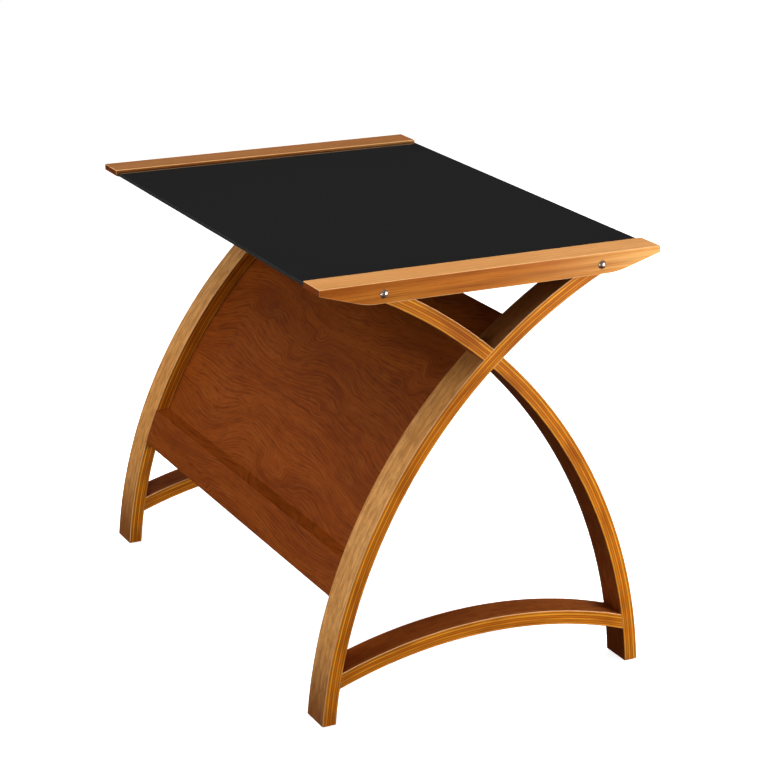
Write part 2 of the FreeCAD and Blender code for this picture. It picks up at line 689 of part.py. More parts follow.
save("rail_bolts", four_corners(rail_bolt()))
save("bolt_caps", four_corners(bolt_cap()))
save("barrel_nuts", four_corners(barrel_nut()))
for node, dowels in (("leg_dowels", leg_dowels()),
                     ("stretcher_dowels", stretcher_dowels()),
                     ("crossbar_dowels", crossbar_dowels())):
    save(node, [copy for solid in solids(dowels) for copy in four_corners(solid)])
save("lip_dowels", both_sides(lip_dowel().solid()))
save("cam_studs", both_sides(cam_stud()))
save("cam_locks", both_sides(cam()))
save("panel_screws", panel_screws(wood_screw()))
save("lip_screws", lip_screws(wood_screw()))
save("foot_glides", four_corners(glide_pad()))
save("glide_nails", four_corners(glide_nail()))
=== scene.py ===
"""The looks of the curved-leg desk: materials, floor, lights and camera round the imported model.

Lengths are in metres, in the model's own frame: +Z up, -Y the rack side, +X to the right.
"""
import math

import bmesh
import bpy
from mathutils import Matrix, Vector


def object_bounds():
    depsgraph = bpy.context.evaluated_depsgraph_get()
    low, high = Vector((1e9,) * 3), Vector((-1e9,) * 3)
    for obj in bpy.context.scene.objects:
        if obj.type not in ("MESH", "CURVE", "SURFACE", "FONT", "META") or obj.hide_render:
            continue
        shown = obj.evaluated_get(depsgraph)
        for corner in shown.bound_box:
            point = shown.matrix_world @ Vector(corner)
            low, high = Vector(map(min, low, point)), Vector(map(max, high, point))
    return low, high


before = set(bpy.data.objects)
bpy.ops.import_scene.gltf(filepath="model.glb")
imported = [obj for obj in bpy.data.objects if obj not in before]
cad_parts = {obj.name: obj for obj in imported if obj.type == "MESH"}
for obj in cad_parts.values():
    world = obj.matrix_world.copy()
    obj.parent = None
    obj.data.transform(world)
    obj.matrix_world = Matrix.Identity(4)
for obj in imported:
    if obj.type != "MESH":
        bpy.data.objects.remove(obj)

cad_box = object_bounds()

# The arcs of the bent bars, as (y, z) centres and radii, which the grain and the ply lines follow
LEG_THICKNESS = 0.024
LEG_OUTER_RADIUS = 0.860
LEG_INNER_RADIUS = LEG_OUTER_RADIUS - LEG_THICKNESS
LEG_CENTRE = (0.563, -0.059)
STRETCHER_CENTRE = (0.0, -0.683)
STRETCHER_INNER_RADIUS = 0.791

PLY_COUNT = 6
VENEER = LEG_THICKNESS / PLY_COUNT

# Heights on a leg: painted shade near the feet fades out at the first, and painted shade under the
# top grows between the others
FOOT_SHADE_TOP = 0.16
SHADE_UNDER_TOP_FROM, SHADE_UNDER_TOP_TO = 0.5, 0.64

# The floor, the curve that joins it to its round wall, and the wall
FLOOR_RADIUS = 12.0
SWEEP_RADIUS = 5.0
WALL_HEIGHT = 24.0
SWEEP_STEPS = 16
WALL_SIDES = 96
FLOOR_GLOW = 0.88

# The camera's place, its angles in degrees, and its lens and sensor in millimetres
CAMERA_PLACE = (3.43407, -1.72679, 1.69087)
CAMERA_YAW, CAMERA_PITCH, CAMERA_ROLL = 62.783, 18.597, 0.625
CAMERA_LENS = 108.804
SENSOR_WIDTH = 36.0
CAMERA_REACH = 100.0


# ---------------------------------------------------------------- node trees

class Finish:
    """A material and short ways to add the nodes it needs."""

    def __init__(self, name):
        self.material = bpy.data.materials.new(name)
        self.material.use_nodes = True
        self.tree = self.material.node_tree
        self.surface = self.tree.nodes["Principled BSDF"]
        self.object_point = self.node("TexCoord").outputs["Object"]

    def node(self, kind, inputs=None, **settings):
        made = self.tree.nodes.new("ShaderNode" + kind)
        for name, value in settings.items():
            setattr(made, name, value)
        for key, value in (inputs or {}).items():
            self.feed(made.inputs[key], value)
        return made

    def feed(self, socket, value):
        """Give a socket a plain value, or link it to another node's output."""
        if isinstance(value, bpy.types.NodeSocket):
            self.tree.links.new(value, socket)
        else:
            socket.default_value = value

    def set(self, **inputs):
        """Set the shader's own sockets: base_color sets Base Color, and so on."""
        for name, value in inputs.items():
            title = " ".join(word.capitalize() for word in name.split("_"))
            title = title.replace("Ior", "IOR")
            self.feed(self.surface.inputs[title], value)

    def math(self, operation, a, b=0.0):
        return self.node("Math", {0: a, 1: b}, operation=operation).outputs[0]

    def add(self, a, b):
        return self.math("ADD", a, b)

    def times(self, a, b):
        return self.math("MULTIPLY", a, b)

    def axes(self, vector):
        return self.node("SeparateXYZ", {0: vector}).outputs

    def point(self, x, y, z):
        return self.node("CombineXYZ", {0: x, 1: y, 2: z}).outputs[0]

    def rise(self, value, low, high, start=0.0, end=1.0):
        """A smooth step from start to end while the value goes from low to high."""
        inputs = {"Value": value, "From Min": low, "From Max": high, "To Min": start, "To Max": end}
        return self.node("MapRange", inputs, interpolation_type="SMOOTHSTEP").outputs["Result"]

    def noise(self, vector, scale=1.0, detail=2.0, roughness=0.5, distortion=0.0):
        inputs = {"Vector": vector, "Scale": scale, "Detail": detail,
                  "Roughness": roughness, "Distortion": distortion}
        return self.node("TexNoise", inputs).outputs["Fac"]

    def blend(self, share, first, second):
        inputs = {0: share, 6: first, 7: second}
        return self.node("Mix", inputs, data_type="RGBA").outputs[2]

    def ramp(self, value, stops):
        """A colour for each value. Stops are (position, colour) from low to high."""
        made = self.node("ValToRGB", {"Fac": value})
        elements = made.color_ramp.elements
        while len(elements) < len(stops):
            elements.new(0.5)
        for element, (position, colour) in zip(elements, stops):
            element.position = position
            element.color = colour
        return made.outputs["Color"]

    def edge_share(self, radius):
        """About 0 on a face, and rising towards 1 within this radius of an edge."""
        rounded = self.node("Bevel", {"Radius": radius}, samples=6).outputs["Normal"]
        normal = self.node("NewGeometry").outputs["Normal"]
        product = self.node("VectorMath", {0: rounded, 1: normal}, operation="DOT_PRODUCT")
        return self.rise(product.outputs["Value"], 0.999, 0.86)

    def bump(self, height, distance, strength):
        inputs = {"Height": height, "Distance": distance, "Strength": strength}
        self.feed(self.surface.inputs["Normal"], self.node("Bump", inputs).outputs["Normal"])


def rgb(red, green, blue):
    """A colour given as it looks on a screen, 0 to 255, turned into light."""
    def light(value):
        share = value / 255
        return share / 12.92 if share <= 0.04045 else ((share + 0.055) / 1.055) ** 2.4
    return (light(red), light(green), light(blue), 1.0)


# Wood tones. A group of three runs from dark to light
RAIL_SIDE_TONES = (rgb(136, 58, 8), rgb(196, 104, 22), rgb(232, 148, 52))
# Painted light on the rail sides towards the sitter end
RAIL_SIDE_LIGHT = rgb(255, 196, 112)
# The rail tops, paler and greyer than the sides: a painted sheen
RAIL_TOP_SHEEN_TONES = (rgb(148, 94, 46), rgb(186, 131, 76), rgb(200, 148, 94))
# Leg veneer in two copies: the outer faces paler and greyer, a painted sheen, and the inner faces
# and the stretchers darker, a painted shade
OUTER_VENEER_SHEEN_TONES = (rgb(162, 98, 42), rgb(228, 162, 88), rgb(250, 190, 116))
INNER_VENEER_SHADE_TONES = (rgb(120, 54, 14), rgb(170, 88, 32), rgb(190, 108, 46))
PANEL_TONES = (rgb(122, 54, 10), rgb(140, 65, 15), rgb(154, 76, 20))
PANEL_LINE = rgb(84, 32, 5)
PANEL_PALE_LINE = rgb(170, 96, 38)
PANEL_WORN = rgb(176, 104, 54)
# Painted shade near the floor: the broad faces darken towards the feet
FOOT_SHADE = rgb(108, 38, 6)
# Painted shade under the top, on the outer faces of the legs high up
SHADE_UNDER_TOP_TONE = rgb(96, 34, 8)
# Painted highlight along the arrises
ARRIS_HIGHLIGHT = rgb(250, 208, 150)
RAIL_END_GRAIN = rgb(112, 42, 14)
# A rail's painted shade tone
RAIL_PAINTED_SHADE = rgb(96, 44, 12)
# How far each rail is drawn towards the painted shade tone: the left one gets painted shade and is
# the darker of the two
RIGHT_RAIL_SHADE, LEFT_RAIL_SHADE = 0.0, 0.62
PLY_PALE, PLY_DARK = rgb(255, 172, 46), rgb(200, 86, 9)
PLY_STREAK = rgb(150, 66, 8)
PLY_DRIFT = rgb(150, 68, 14)
GLUE_LINE = rgb(92, 36, 4)
CROSSBAR_TONES = (rgb(70, 34, 14), rgb(120, 66, 30), rgb(140, 82, 40))
CROSSBAR_WORN = rgb(170, 112, 66)
DOWEL_TONES = (rgb(176, 132, 84), rgb(206, 166, 116), rgb(222, 186, 138))
DOWEL_WORN = rgb(232, 204, 164)

# Glass, metal, plastic and floor tones, as amounts of light
GLASS_TONES = ((0.0085, 0.0085, 0.0088, 1.0), (0.0108, 0.0108, 0.011, 1.0))
GLASS_DUST = (0.05, 0.05, 0.05, 1.0)
GLASS_EDGE = (0.055, 0.062, 0.062, 1.0)
BRONZE, BRONZE_TARNISH = (0.86, 0.66, 0.52, 1.0), (0.44, 0.29, 0.20, 1.0)
CAM_METAL, CAM_TARNISH = (0.5, 0.5, 0.5, 1.0), (0.3, 0.3, 0.3, 1.0)
ZINC, ZINC_TARNISH = (0.62, 0.62, 0.6, 1.0), (0.4, 0.38, 0.33, 1.0)
NYLON_TONES = ((0.018, 0.015, 0.012, 1.0), (0.035, 0.03, 0.024, 1.0))
NYLON_SCUFF = (0.12, 0.11, 0.1, 1.0)
SILICONE_TONES = ((0.60, 0.63, 0.62, 1.0), (0.78, 0.80, 0.79, 1.0))
SILICONE_EDGE = (0.85, 0.86, 0.86, 1.0)
FLOOR_TONES = ((0.80, 0.80, 0.80, 1.0), (0.83, 0.83, 0.83, 1.0))
WHITE = (1.0, 1.0, 1.0, 1.0)

# The studio dome: how high each tone sits, with 0.5 at the horizon and 1 overhead
DOME_TONES = ((0.5, (0.02, 0.018, 0.016, 1.0)),
              (0.72, (0.03, 0.03, 0.03, 1.0)),
              (1.0, (0.25, 0.25, 0.25, 1.0)))


# ---------------------------------------------------------------- wood

class Grain:
    """Where a point lies in the wood: across the grain, into the board, and along the grain."""

    def __init__(self, across, depth, along):
        self.across = across
        self.depth = depth
        self.along = along


def straight_grain(finish, axis):
    """Grain that runs straight along X or Y."""
    x, y, z = finish.axes(finish.object_point)
    return Grain(y, z, x) if axis == "X" else Grain(x, z, y)


def arc_coordinates(finish, centre, radius):
    """X, the distance from the arc's axis, and the length along the arc at this radius."""
    x, y, z = finish.axes(finish.object_point)
    from_y = finish.math("SUBTRACT", y, centre[0])
    from_z = finish.math("SUBTRACT", z, centre[1])
    square = finish.add(finish.times(from_y, from_y), finish.times(from_z, from_z))
    distance = finish.math("SQRT", square)
    angle = finish.math("ARCTAN2", from_z, finish.times(from_y, -1.0))
    return x, distance, finish.times(angle, radius)


def stretched_point(finish, grain, across, along):
    """A place in the grain, scaled to this many waves per metre across it and along it."""
    return finish.point(finish.times(grain.across, across),
                        finish.times(grain.depth, across),
                        finish.times(grain.along, along))


def fibres(finish, grain, across=420.0, along=9.0):
    """Fine streaks along the grain."""
    return finish.noise(stretched_point(finish, grain, across, along), 1.0, 3.0, 0.55)


def pores(finish, grain, across=1100.0, along=70.0):
    """Short dark dashes, 1 in a pore and 0 between them."""
    dashes = finish.noise(stretched_point(finish, grain, across, along), 1.0, 1.0)
    return finish.rise(dashes, 0.62, 0.74)


def growth_rings(finish, grain, spacing, wander, wave=1.6):
    """Soft bands along the grain that wander sideways. 1 is latewood, 0 is earlywood."""
    drift_point = stretched_point(finish, grain, 7.0, wave)
    drift = finish.math("SUBTRACT", finish.noise(drift_point, 1.0, 2.0), 0.5)
    place = finish.add(grain.across, finish.times(grain.depth, 0.6))
    turns = finish.add(finish.times(place, 1.0 / spacing), finish.times(drift, wander / spacing))
    share = finish.math("FRACT", turns)
    late = finish.rise(share, 0.15, 0.8)
    return finish.times(late, finish.rise(share, 1.0, 0.86))


def patches(finish, grain, across=9.0, along=2.4):
    """Slow drifts of tone over the whole board."""
    return finish.noise(stretched_point(finish, grain, across, along), 1.0, 3.0, 0.6)


def lacquer(finish, colour, relief, gloss, relief_depth=0.00022, shine=0.3):
    """Satin lacquer over wood: its roughness and its bump both follow the grain."""
    finish.set(base_color=colour)
    finish.set(roughness=finish.rise(relief, 0.25, 0.75, gloss + 0.08, gloss - 0.04))
    finish.set(specular_ior_level=shine, coat_weight=0.2 * shine, coat_roughness=0.25)
    finish.bump(relief, relief_depth, 0.55)


def edge_wear_and_highlight(finish, colour, grain, pale, radius=0.0016, amount=0.75):
    """Paler colour along the edges, broken up along their length: wear in a worn tone, and a
    painted highlight in the arris highlight tone.
    """
    rubbed = finish.times(finish.edge_share(radius), amount)
    place = finish.point(0.0, finish.times(grain.across, 30.0), finish.times(grain.along, 22.0))
    broken = finish.rise(finish.noise(place), 0.3, 0.62, 0.45, 1.0)
    return finish.blend(finish.times(rubbed, broken), colour, pale)


def wood_colour(finish, grain, tones, ring_spacing, ring_wander, streak=0.35, ring=0.4):
    """Dark, middle and light tones spread over patches, rings, fibres and pores."""
    dark, middle, light = tones
    tone = finish.rise(patches(finish, grain), 0.28, 0.72)
    colour = finish.blend(tone, middle, light)
    rings = growth_rings(finish, grain, ring_spacing, ring_wander)
    colour = finish.blend(finish.times(rings, ring), colour, dark)
    streaks = fibres(finish, grain)
    colour = finish.blend(finish.rise(streaks, 0.42, 0.8, 0.0, streak), colour, dark)
    pits = pores(finish, grain)
    colour = finish.blend(finish.times(pits, 0.35), colour, dark)
    raised = finish.add(finish.times(rings, 0.3), streaks)
    relief = finish.math("SUBTRACT", raised, finish.times(pits, 0.4))
    return colour, relief


def solid_wood(name, axis, tones, pale, gloss, ring_spacing=0.011, ring_wander=0.05):
    """Solid wood with straight grain."""
    finish = Finish(name)
    grain = straight_grain(finish, axis)
    colour, relief = wood_colour(finish, grain, tones, ring_spacing, ring_wander)
    colour = edge_wear_and_highlight(finish, colour, grain, pale)
    lacquer(finish, colour, relief, gloss)
    return finish.material


def upward_or_level(finish, rise_of_normal):
    """1 where a face looks up or sideways, and 0 where it looks down."""
    return finish.rise(rise_of_normal, -0.1, 0.05)


def rail_wood(name, painted_shade):
    """A rail: paler and greyer on top, a painted sheen; paler on its sides towards the sitter,
    painted light; darker on its end grain; and drawn by the given share towards a painted shade
    tone.
    """
    finish = Finish(name)
    grain = straight_grain(finish, "Y")
    normal = finish.axes(finish.node("TexCoord").outputs["Normal"])
    # Painted sheen: the tops take paler, greyer tones than the sides
    upward = finish.rise(normal[2], 0.5, 0.75)
    tones = [finish.blend(upward, side, top) for side, top in zip(RAIL_SIDE_TONES, RAIL_TOP_SHEEN_TONES)]
    colour, relief = wood_colour(finish, grain, tones, 0.012, 0.03, 0.75, 0.34)
    # Painted light: the sides grow paler towards the sitter end
    painted_light = finish.times(finish.rise(grain.along, 0.0, 0.3), finish.rise(normal[2], 0.6, 0.3))
    uneven = finish.rise(fibres(finish, grain, 190.0, 6.0), 0.7, 0.3, 0.25, 0.75)
    colour = finish.blend(finish.times(painted_light, uneven), colour, RAIL_SIDE_LIGHT)
    end_grain = finish.rise(finish.math("ABSOLUTE", normal[1]), 0.6, 0.9)
    colour = finish.blend(finish.times(end_grain, 0.85), colour, RAIL_END_GRAIN)
    # Painted shade, drawn in by the rail's given share
    colour = finish.blend(painted_shade, colour, RAIL_PAINTED_SHADE)
    # Painted highlight: the arris faces that look up or sideways are painted in the highlight tone
    slant = finish.math("MAXIMUM", finish.math("ABSOLUTE", normal[0]), normal[2])
    slant = finish.math("MAXIMUM", slant, finish.math("ABSOLUTE", normal[1]))
    arris_highlight = finish.times(finish.rise(slant, 0.9, 0.78), upward_or_level(finish, normal[2]))
    colour = finish.blend(finish.times(arris_highlight, 0.6), colour, ARRIS_HIGHLIGHT)
    # Paler edges in the highlight tone, a painted highlight
    colour = edge_wear_and_highlight(finish, colour, grain, ARRIS_HIGHLIGHT, 0.002, 0.7)
    lacquer(finish, colour, relief, 0.42, 0.00022, 0.08)
    return finish.material


def bent_plywood(name, centre, inner_radius, outer_tones, inner_tones):
    """Bent plywood: face veneer on the broad faces, and ply lines that follow the arc."""
    finish = Finish(name)
    x, distance, along = arc_coordinates(finish, centre, inner_radius)
    face_grain = Grain(x, distance, along)

    # The outer faces take the painted sheen tones, the inner faces the painted shade tones
    outer = finish.rise(distance, inner_radius + 0.3 * LEG_THICKNESS,
                        inner_radius + 0.7 * LEG_THICKNESS)
    tones = [finish.blend(outer, low, high) for low, high in zip(inner_tones, outer_tones)]
    face, face_relief = wood_colour(finish, face_grain, tones, 0.016, 0.06, 0.7, 0.22)
    mottle_point = finish.point(finish.times(x, 120.0), finish.times(along, 38.0), 2.0)
    mottle = finish.noise(mottle_point, 1.0, 3.0, 0.65)
    face = finish.blend(finish.rise(mottle, 0.4, 0.66, 0.0, 0.5), face, tones[0])
    height = finish.axes(finish.object_point)[2]
    # Painted shade: the broad faces darken towards the floor
    face = finish.blend(finish.rise(height, FOOT_SHADE_TOP, 0.0, 0.0, 0.75), face, FOOT_SHADE)
    # Painted shade: the outer faces darken high up under the top
    shade_under_top = finish.times(finish.rise(height, SHADE_UNDER_TOP_FROM, SHADE_UNDER_TOP_TO, 0.0, 0.72), outer)
    face = finish.blend(shade_under_top, face, SHADE_UNDER_TOP_TONE)

    layer = finish.times(finish.math("SUBTRACT", distance, inner_radius), 1.0 / VENEER)
    wander = finish.noise(finish.point(finish.times(x, 40.0), finish.times(along, 3.0), 0.0))
    layer = finish.add(layer, finish.times(finish.math("SUBTRACT", wander, 0.5), 0.16))
    number = finish.math("FLOOR", layer)
    share = finish.math("SUBTRACT", layer, number)
    chance = finish.node("TexWhiteNoise", {"W": finish.add(number, 3.7)}, noise_dimensions="1D")
    alternate = finish.math("PINGPONG", number, 1.0)
    darkness = finish.add(finish.times(alternate, 0.5),
                          finish.times(chance.outputs["Value"], 0.35))
    side = finish.blend(darkness, PLY_PALE, PLY_DARK)
    side_grain = Grain(distance, x, along)
    side_streaks = fibres(finish, side_grain, 900.0, 16.0)
    side = finish.blend(finish.rise(side_streaks, 0.38, 0.72, 0.0, 0.6), side, PLY_STREAK)
    drift_point = finish.point(finish.times(distance, 40.0), finish.times(along, 9.0), 6.0)
    drift = finish.noise(drift_point, 1.0, 2.0)
    side = finish.blend(finish.rise(drift, 0.42, 0.68, 0.0, 0.55), side, PLY_DRIFT)
    glue_low = finish.rise(share, 0.2, 0.0)
    glue_high = finish.rise(share, 0.86, 1.0)
    glue = finish.math("MAXIMUM", glue_low, glue_high)
    side = finish.blend(finish.times(glue, 0.85), side, GLUE_LINE)
    side_relief = finish.math("SUBTRACT", side_streaks, finish.times(glue, 0.6))

    normal = finish.axes(finish.node("TexCoord").outputs["Normal"])
    sideways = finish.rise(finish.math("ABSOLUTE", normal[0]), 0.45, 0.62)
    colour = finish.blend(sideways, face, side)
    relief = finish.add(finish.times(sideways, side_relief),
                        finish.times(finish.math("SUBTRACT", 1.0, sideways), face_relief))
    # Painted highlight: the arris faces on the outer side are painted in the highlight tone
    slant = finish.math("ABSOLUTE", normal[0])
    arris_highlight = finish.times(finish.rise(slant, 0.35, 0.6), finish.rise(slant, 0.92, 0.8))
    arris_highlight = finish.times(arris_highlight, outer)
    colour = finish.blend(finish.times(arris_highlight, 0.75), colour, ARRIS_HIGHLIGHT)
    # Paler edges in the highlight tone, a painted highlight
    colour = edge_wear_and_highlight(finish, colour, face_grain, ARRIS_HIGHLIGHT, 0.0015, 0.6)
    lacquer(finish, colour, relief, 0.42, 0.00022, 0.09)
    return finish.material


def figured_veneer(name, centre, radius, swirl_depth):
    """Dark veneer. Its lines are the level lines of a slope with swells, so they bend into eyes."""
    finish = Finish(name)
    x, distance, along = arc_coordinates(finish, centre, radius)
    grain = Grain(along, distance, x)

    swell_point = finish.point(finish.times(x, 4.0), finish.times(along, 7.5), 0.37)
    swell = finish.math("SUBTRACT", finish.noise(swell_point, 1.0, 0.5, 0.4), 0.5)
    knot_point = finish.point(finish.times(x, 8.0), finish.times(along, 13.0), 1.9)
    knots = finish.rise(finish.noise(knot_point, 1.0, 0.0), 0.6, 0.8)
    place = finish.add(along, finish.times(swell, swirl_depth))
    place = finish.add(place, finish.times(knots, 0.2 * swirl_depth))

    def streaks(across, lengthwise, seed, detail):
        """Streaks that follow the level lines: across them, and along them, in waves per metre."""
        stretched = finish.point(finish.times(place, across), finish.times(x, lengthwise), seed)
        return finish.noise(stretched, 1.0, detail, 0.55)

    bands = streaks(30.0, 2.0, 0.0, 2.0)
    phase = finish.add(finish.times(place, 1050.0),
                       finish.times(streaks(60.0, 4.0, 2.0, 1.0), 9.0))
    rings = finish.rise(finish.math("SINE", phase), -0.2, 0.95)
    lines = finish.times(rings, finish.rise(streaks(110.0, 9.0, 5.0, 2.0), 0.36, 0.66))
    pale_lines = finish.rise(streaks(240.0, 12.0, 11.0, 1.0), 0.5, 0.75)
    fine = streaks(620.0, 34.0, 4.0, 2.0)
    patch_point = finish.point(finish.times(x, 5.0), finish.times(along, 9.0), 8.0)
    patch = finish.noise(patch_point, 1.0, 2.0)

    colour = finish.ramp(bands, list(zip((0.3, 0.5, 0.7), PANEL_TONES)))
    colour = finish.blend(finish.rise(patch, 0.4, 0.7, 0.0, 0.45), colour, PANEL_TONES[2])
    colour = finish.blend(finish.times(lines, 0.44), colour, PANEL_LINE)
    colour = finish.blend(finish.times(pale_lines, 0.3), colour, PANEL_PALE_LINE)
    colour = finish.blend(finish.rise(fine, 0.42, 0.7, 0.0, 0.5), colour, PANEL_LINE)
    pits = pores(finish, Grain(place, distance, x), 900.0, 50.0)
    colour = finish.blend(finish.times(pits, 0.3), colour, PANEL_LINE)
    raised = finish.add(finish.times(lines, -0.4), fine)
    relief = finish.math("SUBTRACT", raised, finish.times(pits, 0.3))
    colour = edge_wear_and_highlight(finish, colour, grain, PANEL_WORN, 0.0012, 0.5)
    lacquer(finish, colour, relief, 0.5, 0.00015, 0.06)
    return finish.material


# ---------------------------------------------------------------- glass, metal and plastic

def black_glass():
    """Opaque black glass with faint wiping marks, specks of dust and paler ground edges."""
    finish = Finish("black_glass")
    x, y, _ = finish.axes(finish.object_point)
    wipe_point = finish.point(finish.times(x, 5.0), finish.times(y, 2.0), 0.0)
    wipe = finish.noise(wipe_point, 1.0, 3.0, 0.6, 1.2)
    dust = finish.rise(finish.noise(finish.object_point, 900.0, 1.0), 0.74, 0.84)
    colour = finish.blend(finish.times(wipe, 0.35), *GLASS_TONES)
    colour = finish.blend(finish.times(dust, 0.06), colour, GLASS_DUST)
    edge = finish.edge_share(0.0012)
    colour = finish.blend(finish.times(edge, 0.7), colour, GLASS_EDGE)
    normal = finish.axes(finish.node("TexCoord").outputs["Normal"])
    ground = finish.rise(finish.math("ABSOLUTE", normal[2]), 0.6, 0.3)
    rough = finish.add(finish.times(wipe, 0.12), finish.times(edge, 0.3))
    finish.set(base_color=colour)
    finish.set(roughness=finish.add(rough, finish.times(ground, 0.55)))
    finish.set(specular_ior_level=0.4)
    finish.bump(finish.add(finish.times(wipe, 0.2), finish.times(dust, 0.2)), 0.00002, 0.3)
    return finish.material


def metal(name, tone, dark, rough, brush=700.0):
    """Plated metal: fine turning marks, patches of tarnish, brighter rubbed edges."""
    finish = Finish(name)
    x, y, z = finish.axes(finish.object_point)
    marks = finish.noise(finish.point(finish.times(x, brush), finish.times(y, brush * 0.2),
                                      finish.times(z, brush)), 1.0, 2.0)
    tarnish = finish.rise(finish.noise(finish.object_point, 160.0, 3.0, 0.6), 0.35, 0.7)
    colour = finish.blend(finish.times(tarnish, 0.55), tone, dark)
    edge = finish.edge_share(0.0006)
    rubbed = tuple(min(1.0, channel * 1.35) for channel in tone[:3]) + (1.0,)
    colour = finish.blend(finish.times(edge, 0.5), colour, rubbed)
    finish.set(base_color=colour, metallic=1.0)
    finish.set(roughness=finish.rise(marks, 0.2, 0.8, rough - 0.08, rough + 0.1))
    finish.bump(marks, 0.00004, 0.4)
    return finish.material


def moulded_plastic():
    """Dark nylon with a fine moulded texture, scuffed pale at the rim."""
    finish = Finish("glide_plastic")
    speckle = finish.noise(finish.object_point, 1400.0, 2.0)
    scuff = finish.rise(finish.noise(finish.object_point, 220.0, 3.0), 0.5, 0.75)
    colour = finish.blend(speckle, *NYLON_TONES)
    colour = finish.blend(finish.times(scuff, finish.edge_share(0.001)), colour, NYLON_SCUFF)
    finish.set(base_color=colour, roughness=finish.rise(speckle, 0.3, 0.7, 0.5, 0.66))
    finish.bump(speckle, 0.00008, 0.6)
    return finish.material


def clear_silicone():
    """Soft clear pads, slightly milky in patches and at their edges."""
    finish = Finish("clear_silicone")
    haze = finish.noise(finish.object_point, 500.0, 2.0)
    colour = finish.blend(haze, *SILICONE_TONES)
    colour = finish.blend(finish.times(finish.edge_share(0.0008), 0.4), colour, SILICONE_EDGE)
    finish.set(base_color=colour, roughness=finish.rise(haze, 0.3, 0.7, 0.22, 0.36))
    finish.set(transmission_weight=0.6, ior=1.41)
    finish.bump(haze, 0.00004, 0.4)
    return finish.material


# ---------------------------------------------------------------- who wears what

def other_side(centre):
    """The arc centre of the legs whose feet are on the other side."""
    return -centre[0], centre[1]


crossbar_wood = solid_wood("crossbar_wood", "X", CROSSBAR_TONES, CROSSBAR_WORN, 0.5)
dowel_wood = solid_wood("dowel_wood", "Y", DOWEL_TONES, DOWEL_WORN, 0.6, 0.004, 0.01)

MATERIALS = {
    "right_rail": rail_wood("right_rail_wood", RIGHT_RAIL_SHADE),
    "left_rail": rail_wood("left_rail_wood", LEFT_RAIL_SHADE),
    "sitter_crossbar": crossbar_wood,
    "rack_crossbar": crossbar_wood,
    "glass_top": black_glass(),
    "glass_bumpers": clear_silicone(),
    "rack_panel": figured_veneer("panel_veneer", LEG_CENTRE, LEG_INNER_RADIUS, 0.12),
    "rack_lip": figured_veneer("lip_veneer", LEG_CENTRE, LEG_OUTER_RADIUS, 0.06),
    "foot_glides": moulded_plastic(),
    "bolt_caps": metal("bronze_metal", BRONZE, BRONZE_TARNISH, 0.36),
    "cam_locks": metal("cam_metal", CAM_METAL, CAM_TARNISH, 0.5, 300.0),
}
leg_tones = (OUTER_VENEER_SHEEN_TONES, INNER_VENEER_SHADE_TONES)
rack_leg_ply = bent_plywood("rack_leg_plywood", LEG_CENTRE, LEG_INNER_RADIUS, *leg_tones)
cross_leg_ply = bent_plywood("cross_leg_plywood", other_side(LEG_CENTRE), LEG_INNER_RADIUS,
                             *leg_tones)
# The stretchers take the painted shade tones on both faces
stretcher_ply = bent_plywood("stretcher_plywood", STRETCHER_CENTRE, STRETCHER_INNER_RADIUS,
                             INNER_VENEER_SHADE_TONES, INNER_VENEER_SHADE_TONES)
for side in ("right_", "left_"):
    MATERIALS[side + "rack_leg"] = rack_leg_ply
    MATERIALS[side + "cross_leg"] = cross_leg_ply
    MATERIALS[side + "stretcher"] = stretcher_ply
zinc_steel = metal("zinc_steel", ZINC, ZINC_TARNISH, 0.34)
for piece in ("rail_bolts", "barrel_nuts", "cam_studs", "panel_screws", "lip_screws",
              "glide_nails"):
    MATERIALS[piece] = zinc_steel
for piece in ("leg_dowels", "stretcher_dowels", "crossbar_dowels", "lip_dowels"):
    MATERIALS[piece] = dowel_wood

for name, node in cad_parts.items():
    node.material_slots[0].material = MATERIALS[name]


# ---------------------------------------------------------------- floor, light and camera

def swept_profile(flat_radius, sweep_radius, wall_height):
    """Radius and height of a floor that curves up into a wall, from the middle outwards."""
    points = [(flat_radius, 0.0)]
    for step in range(1, SWEEP_STEPS + 1):
        angle = math.radians(90.0 * step / SWEEP_STEPS)
        points.append((flat_radius + sweep_radius * math.sin(angle),
                       sweep_radius * (1.0 - math.cos(angle))))
    points.append((flat_radius + sweep_radius, wall_height))
    return points


def make_floor(flat_radius, sweep_radius, wall_height):
    """A pale floor and its round wall, which throw no light on the desk and show in no mirror."""
    mesh = bpy.data.meshes.new("floor")
    shape = bmesh.new()
    angles = [2.0 * math.pi * turn / WALL_SIDES for turn in range(WALL_SIDES)]
    rings = []
    for radius, height in swept_profile(flat_radius, sweep_radius, wall_height):
        rings.append([shape.verts.new((radius * math.cos(angle), radius * math.sin(angle), height))
                      for angle in angles])
    shape.faces.new(rings[0])
    for inner, outer in zip(rings, rings[1:]):
        for turn in range(WALL_SIDES):
            after = (turn + 1) % WALL_SIDES
            shape.faces.new((inner[turn], outer[turn], outer[after], inner[after]))
    for face in shape.faces:
        face.smooth = True
    shape.to_mesh(mesh)
    shape.free()
    floor = bpy.data.objects.new("floor", mesh)
    bpy.context.scene.collection.objects.link(floor)
    finish = Finish("floor_paint")
    tone = finish.noise(finish.object_point, 3.0, 2.0)
    colour = finish.blend(tone, *FLOOR_TONES)
    finish.set(base_color=colour, roughness=0.9, specular_ior_level=0.0)
    finish.set(emission_color=WHITE, emission_strength=FLOOR_GLOW)
    mesh.materials.append(finish.material)
    floor.visible_diffuse = False
    floor.visible_glossy = False


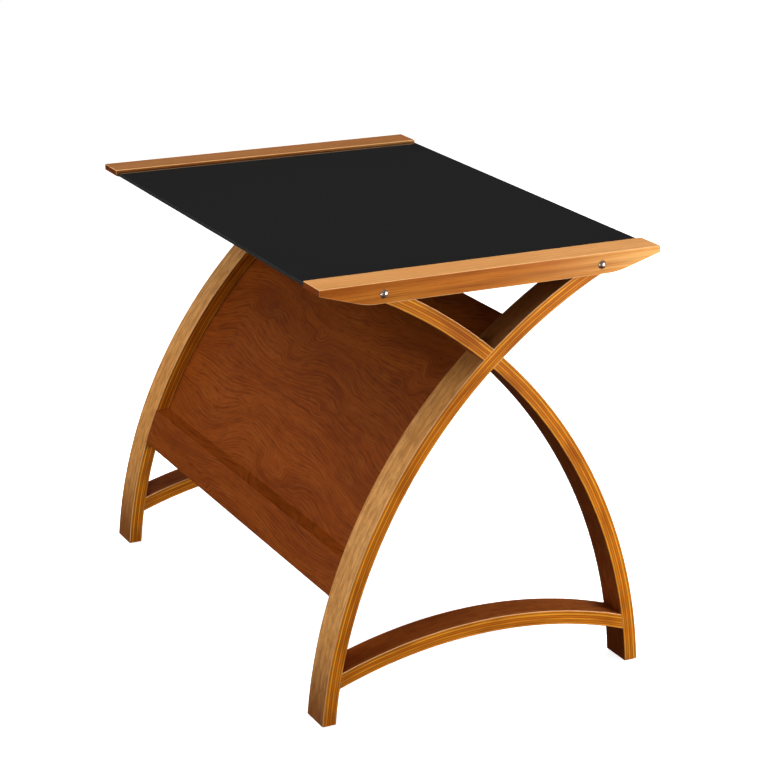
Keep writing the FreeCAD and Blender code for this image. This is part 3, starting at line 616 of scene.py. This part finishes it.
def make_world():
    """A dim studio dome: grey overhead, and nearly black at the horizon and below it."""
    world = bpy.data.worlds.new("studio")
    bpy.context.scene.world = world
    world.use_nodes = True
    tree = world.node_tree
    background = tree.nodes["Background"]
    direction = tree.nodes.new("ShaderNodeTexCoord").outputs["Generated"]
    split = tree.nodes.new("ShaderNodeSeparateXYZ")
    ramp = tree.nodes.new("ShaderNodeValToRGB")
    shift = tree.nodes.new("ShaderNodeMath")
    shift.operation = "MULTIPLY_ADD"
    shift.inputs[1].default_value = 0.5
    shift.inputs[2].default_value = 0.5
    tree.links.new(direction, split.inputs[0])
    tree.links.new(split.outputs["Z"], shift.inputs[0])
    tree.links.new(shift.outputs[0], ramp.inputs["Fac"])
    tree.links.new(ramp.outputs["Color"], background.inputs["Color"])
    stops = ramp.color_ramp.elements
    for stop, (height, tone) in zip((stops[0], stops[1]), DOME_TONES):
        stop.position = height
        stop.color = tone
    height, tone = DOME_TONES[2]
    stops.new(height).color = tone
    background.inputs["Strength"].default_value = 1.0


def softbox(name, place, target, size, power, mirrored=True):
    """A lamp with a rectangular face, turned to its target. Shiny surfaces mirror it or don't."""
    lamp = bpy.data.lights.new(name, "AREA")
    lamp.shape = "RECTANGLE"
    lamp.size, lamp.size_y = size
    lamp.energy = power
    box = bpy.data.objects.new(name, lamp)
    bpy.context.scene.collection.objects.link(box)
    box.location = place
    box.visible_glossy = mirrored
    box.rotation_mode = "QUATERNION"
    box.rotation_quaternion = (Vector(target) - Vector(place)).to_track_quat("-Z", "Y")


def make_camera():
    """The camera: a long lens, looking down on the rack side from the right."""
    yaw, pitch, roll = (math.radians(turn) for turn in (CAMERA_YAW, CAMERA_PITCH, CAMERA_ROLL))
    forward = Vector((-math.sin(yaw) * math.cos(pitch),
                      math.cos(yaw) * math.cos(pitch),
                      -math.sin(pitch)))
    level = Vector((math.cos(yaw), math.sin(yaw), 0.0))
    upright = level.cross(forward)
    right = math.cos(roll) * level + math.sin(roll) * upright
    up = right.cross(forward)
    columns = Matrix((right, up, -forward)).transposed()
    lens = bpy.data.cameras.new("camera")
    lens.sensor_width = SENSOR_WIDTH
    lens.lens = CAMERA_LENS
    lens.clip_end = CAMERA_REACH
    camera = bpy.data.objects.new("camera", lens)
    bpy.context.scene.collection.objects.link(camera)
    camera.matrix_world = Matrix.Translation(CAMERA_PLACE) @ columns.to_4x4()
    bpy.context.scene.camera = camera


make_floor(FLOOR_RADIUS, SWEEP_RADIUS, WALL_HEIGHT)
make_world()
middle = (cad_box[0] + cad_box[1]) / 2
softbox("overhead", (0.0, 0.5, 2.6), (0.1, 0.2, 0.7), (0.8, 0.6), 46.0, mirrored=False)
softbox("overhead_front", (0.3, -1.0, 2.0), (0.1, -0.2, 0.6), (1.2, 0.7), 12.0)
softbox("front", (-0.5, -2.2, 1.7), middle, (1.6, 0.9), 21.0)
softbox("front_low", (-1.3, -2.6, 0.6), middle, (1.4, 0.8), 9.0)
softbox("right_back", (1.9, 1.3, 0.6), (0.4, 0.1, 0.4), (0.7, 0.5), 30.0)
softbox("right_front", (2.3, -1.9, 0.4), middle, (1.0, 0.6), 10.0)
softbox("rail_end", (1.0, 0.85, 0.85), (0.45, 0.32, 0.7), (0.3, 0.3), 3.0, mirrored=False)
softbox("left", (-3.0, -0.5, 0.7), middle, (1.2, 0.8), 11.0, mirrored=False)
softbox("left_back", (-1.6, 2.6, 0.6), middle, (1.4, 0.8), 13.0, mirrored=False)
make_camera()
bpy.context.scene.view_settings.view_transform = "Standard"
